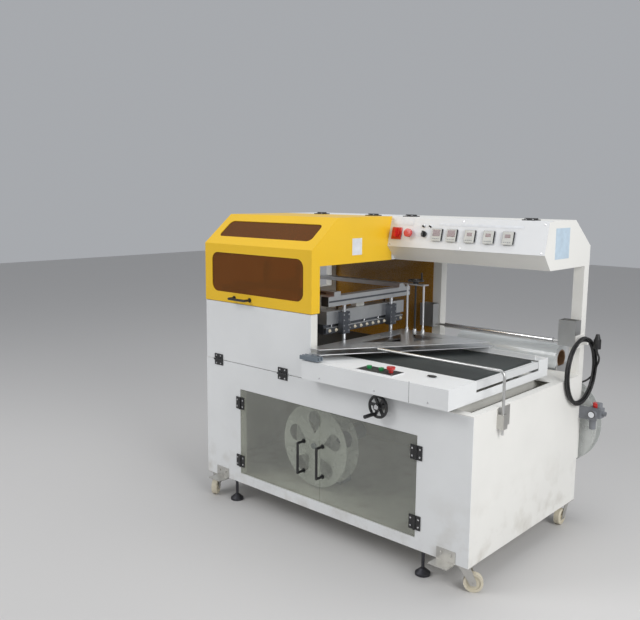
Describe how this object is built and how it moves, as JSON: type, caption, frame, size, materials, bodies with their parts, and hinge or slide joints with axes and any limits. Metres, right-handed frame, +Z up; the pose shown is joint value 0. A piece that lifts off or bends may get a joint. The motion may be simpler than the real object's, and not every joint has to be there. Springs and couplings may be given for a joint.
{
  "type": "l bar sealer",
  "caption": "Packing machine with a tilting yellow hood over an L-shaped sealing jaw, a lifting infeed conveyor with film-folding plates, rear film roll, control console, clear doors, casters.",
  "frame": {"origin": "on the floor below the middle of the cabinet", "axes": "+X towards the infeed end, +Y away from the operator, +Z up"},
  "size_m": [1.715, 1.1983, 1.4473],
  "materials": {
    "frame_paint": "cream powder coat",
    "front_paint": "off-white powder coat, fine texture",
    "side_paint": "cream powder coat",
    "fascia_paint": "off-white powder coat",
    "stainless": "brushed stainless",
    "aluminium_profile": "anodised",
    "plate_aluminium": "satin",
    "jaw_aluminium": "anodised",
    "jaw_grey": "dark oxide",
    "bed_grey": "satin",
    "belt": "matt, fine weave",
    "foot_steel": "dark",
    "zinc": "zinc plated",
    "black_metal": "black, satin",
    "motor_grey": "grey enamel",
    "regulator_grey": "grey",
    "cord_black": "black sheath",
    "hood_yellow": "yellow powder coat",
    "amber_pane": "tinted acrylic",
    "door_acrylic": "clear acrylic",
    "instrument": "black",
    "switch_black": "black",
    "stop_red": "red",
    "button_green": "green",
    "film_white": "milky film",
    "roller_steel": "ground",
    "reel_plastic": "milky plastic",
    "caster_nylon": "cream nylon",
    "switch_red": "red",
    "ochre_sheet": "tinted sheet",
    "handwheel_black": "black moulded"
  },
  "bodies": {
    "cabinet": {"air_regulator": "regulator_grey", "base_frame": "frame_paint", "console_columns": "side_paint", "console_housing": "side_paint", "cord_coil": "cord_black", "deck_plate": "side_paint", "film_stand": "stainless", "fixed_hinges": "black_metal", "front_panel": "front_paint", "guide_frame": "aluminium_profile", "levelling_feet": "foot_steel", "lower_jaw": "jaw_grey", "outfeed_belt": "belt", "outfeed_conveyor": "bed_grey", "power_cord": "cord_black", "power_plug": "cord_black", "rear_guard": "ochre_sheet", "rear_housing": "front_paint", "reel_drive": "motor_grey", "side_panels": "side_paint", "steel_fittings": "zinc"},
    "hood": {"hood_shell": "hood_yellow", "hood_windows": "amber_pane", "hood_fittings": "black_metal"},
    "access_flap": {"access_door": "front_paint", "access_door_hinges": "black_metal"},
    "door_left": {"left_door": "door_acrylic", "left_door_fittings": "black_metal"},
    "door_right": {"right_door": "door_acrylic", "right_door_fittings": "black_metal"},
    "fascia": {"console_fascia": "fascia_paint", "fascia_fittings": "instrument"},
    "lift_table": {"table_cover": "front_paint", "conveyor_bed": "bed_grey", "infeed_belt": "belt", "lower_film_plate": "plate_aluminium"},
    "film_plate": {"upper_film_plate": "plate_aluminium"},
    "jaw": {"jaw_carrier": "jaw_aluminium", "knife_bar": "jaw_grey"},
    "main_switch_body": {"main_switch": "switch_red"},
    "console_stop_body": {"console_stop": "stop_red"},
    "selector_knob_body": {"selector_knob": "switch_black"},
    "start_button_body": {"start_button": "button_green"},
    "run_button_body": {"run_button": "button_green"},
    "table_stop_body": {"table_stop": "stop_red"},
    "front_handwheel_body": {"front_handwheel": "handwheel_black"},
    "film_handwheel_body": {"film_handwheel": "handwheel_black"},
    "film_roll_body": {"film_roll": "film_white"},
    "guide_roller_body": {"guide_roller": "roller_steel"},
    "waste_reel_body": {"waste_reel": "reel_plastic"},
    "rear_reel_body": {"rear_reel": "reel_plastic"},
    "guard_rod_body": {"guard_rod": "stainless"},
    "caster_fork_front_left_body": {"caster_fork_front_left": "zinc"},
    "caster_fork_front_right_body": {"caster_fork_front_right": "zinc"},
    "caster_fork_rear_left_body": {"caster_fork_rear_left": "zinc"},
    "caster_fork_rear_right_body": {"caster_fork_rear_right": "zinc"},
    "caster_wheel_front_left_body": {"caster_wheel_front_left": "caster_nylon"},
    "caster_wheel_front_right_body": {"caster_wheel_front_right": "caster_nylon"},
    "caster_wheel_rear_left_body": {"caster_wheel_rear_left": "caster_nylon"},
    "caster_wheel_rear_right_body": {"caster_wheel_rear_right": "caster_nylon"}
  },
  "joints": [
    {"name": "hood_tilt", "type": "hinge", "parent": "cabinet", "child": "hood", "pos_m": [-0.417, 0.1015, 1.4423], "axis": [-1, 0, 0], "range_deg": [0, 70]},
    {"name": "fascia_tilt", "type": "hinge", "parent": "cabinet", "child": "fascia", "pos_m": [0.355, 0.1335, 1.4423], "axis": [-1, 0, 0], "range_deg": [0, 70]},
    {"name": "access_flap_swing", "type": "hinge", "parent": "cabinet", "child": "access_flap", "pos_m": [-0.417, -0.4803, 0.7185], "axis": [1, 0, 0], "range_deg": [0, 90]},
    {"name": "door_left_swing", "type": "hinge", "parent": "cabinet", "child": "door_left", "pos_m": [-0.526, -0.4803, 0.377], "axis": [0, 0, -1], "range_deg": [0, 110]},
    {"name": "door_right_swing", "type": "hinge", "parent": "cabinet", "child": "door_right", "pos_m": [0.526, -0.4803, 0.377], "axis": [0, 0, 1], "range_deg": [0, 110]},
    {"name": "main_switch_turn", "type": "hinge", "parent": "fascia", "child": "main_switch_body", "pos_m": [-0.008, 0.0813, 1.35835], "axis": [0, -0.9729, 0.2313], "range_deg": [0, 90]},
    {"name": "console_stop_press", "type": "slide", "parent": "fascia", "child": "console_stop_body", "axis": [0, 0.9729, -0.2313], "range_m": [0, 0.004]},
    {"name": "selector_turn", "type": "hinge", "parent": "fascia", "child": "selector_knob_body", "pos_m": [0.15, 0.0813, 1.35835], "axis": [0, -0.9729, 0.2313], "range_deg": [-45, 45]},
    {"name": "table_lift", "type": "slide", "parent": "cabinet", "child": "lift_table", "axis": [0, 0, 1], "range_m": [0, 0.03]},
    {"name": "film_plate_lift", "type": "slide", "parent": "lift_table", "child": "film_plate", "axis": [0, 0, 1], "range_m": [-0.012, 0.05]},
    {"name": "front_handwheel_turn", "type": "hinge", "parent": "cabinet", "child": "front_handwheel_body", "pos_m": [0.35, -0.505, 0.682], "axis": [0, -1, 0], "range_deg": [0, 540]},
    {"name": "film_handwheel_turn", "type": "hinge", "parent": "lift_table", "child": "film_handwheel_body", "pos_m": [0.051, 0.165, 1.125], "axis": [0, 0, 1], "range_deg": [-220, 905]},
    {"name": "start_button_press", "type": "slide", "parent": "lift_table", "child": "start_button_body", "axis": [0, 0, -1], "range_m": [0, 0.004], "stiffness_N_per_m": 300, "springref_m": -0.001},
    {"name": "run_button_press", "type": "slide", "parent": "lift_table", "child": "run_button_body", "axis": [0, 0, -1], "range_m": [0, 0.004], "stiffness_N_per_m": 300, "springref_m": -0.001},
    {"name": "table_stop_press", "type": "slide", "parent": "lift_table", "child": "table_stop_body", "axis": [0, 0, -1], "range_m": [0, 0.004]},
    {"name": "jaw_press", "type": "slide", "parent": "cabinet", "child": "jaw", "axis": [0, 0, 1], "range_m": [-0.0755, 0]},
    {"name": "film_roll_turn", "type": "hinge", "parent": "cabinet", "child": "film_roll_body", "pos_m": [0.375, 0.537, 0.768], "axis": [1, 0, 0], "continuous": true},
    {"name": "guide_roller_turn", "type": "hinge", "parent": "cabinet", "child": "guide_roller_body", "pos_m": [0.35, 0.445, 0.87], "axis": [1, 0, 0], "continuous": true},
    {"name": "waste_reel_turn", "type": "hinge", "parent": "cabinet", "child": "waste_reel_body", "pos_m": [-0.14, -0.308, 0.365], "axis": [0, 1, 0], "continuous": true},
    {"name": "rear_reel_turn", "type": "hinge", "parent": "cabinet", "child": "rear_reel_body", "pos_m": [0.611, 0.59, 0.455], "axis": [0, 1, 0], "continuous": true},
    {"name": "guard_rod_slide", "type": "slide", "parent": "cabinet", "child": "guard_rod_body", "axis": [0, 0, 1], "range_m": [0, 0.05]},
    {"name": "caster_swivel_front_right", "type": "hinge", "parent": "cabinet", "child": "caster_fork_front_right_body", "pos_m": [0.745, -0.44, 0.1], "axis": [0, 0, 1], "continuous": true},
    {"name": "caster_roll_front_right", "type": "hinge", "parent": "caster_fork_front_right_body", "child": "caster_wheel_front_right_body", "pos_m": [0.775, -0.42197, 0.0395], "axis": [-0.515, 0.8572, 0], "continuous": true},
    {"name": "caster_swivel_front_left", "type": "hinge", "parent": "cabinet", "child": "caster_fork_front_left_body", "pos_m": [-0.745, -0.44, 0.1], "axis": [0, 0, 1], "continuous": true},
    {"name": "caster_roll_front_left", "type": "hinge", "parent": "caster_fork_front_left_body", "child": "caster_wheel_front_left_body", "pos_m": [-0.72594, -0.46935, 0.0395], "axis": [0.8387, 0.5446, 0], "continuous": true},
    {"name": "caster_swivel_rear_right", "type": "hinge", "parent": "cabinet", "child": "caster_fork_rear_right_body", "pos_m": [0.745, 0.44, 0.1], "axis": [0, 0, 1], "continuous": true},
    {"name": "caster_roll_rear_right", "type": "hinge", "parent": "caster_fork_rear_right_body", "child": "caster_wheel_rear_right_body", "pos_m": [0.74622, 0.40502, 0.0395], "axis": [0.9994, 0.0349, 0], "continuous": true},
    {"name": "caster_swivel_rear_left", "type": "hinge", "parent": "cabinet", "child": "caster_fork_rear_left_body", "pos_m": [-0.745, 0.44, 0.1], "axis": [0, 0, 1], "continuous": true},
    {"name": "caster_roll_rear_left", "type": "hinge", "parent": "caster_fork_rear_left_body", "child": "caster_wheel_rear_left_body", "pos_m": [-0.78, 0.44, 0.0395], "axis": [0, -1, 0], "continuous": true}
  ],
  "couplings": [
    {"joint": "front_handwheel_turn", "follows": "table_lift", "rad_per_m": 314.16},
    {"joint": "film_handwheel_turn", "follows": "film_plate_lift", "rad_per_m": 314.16}
  ]
}
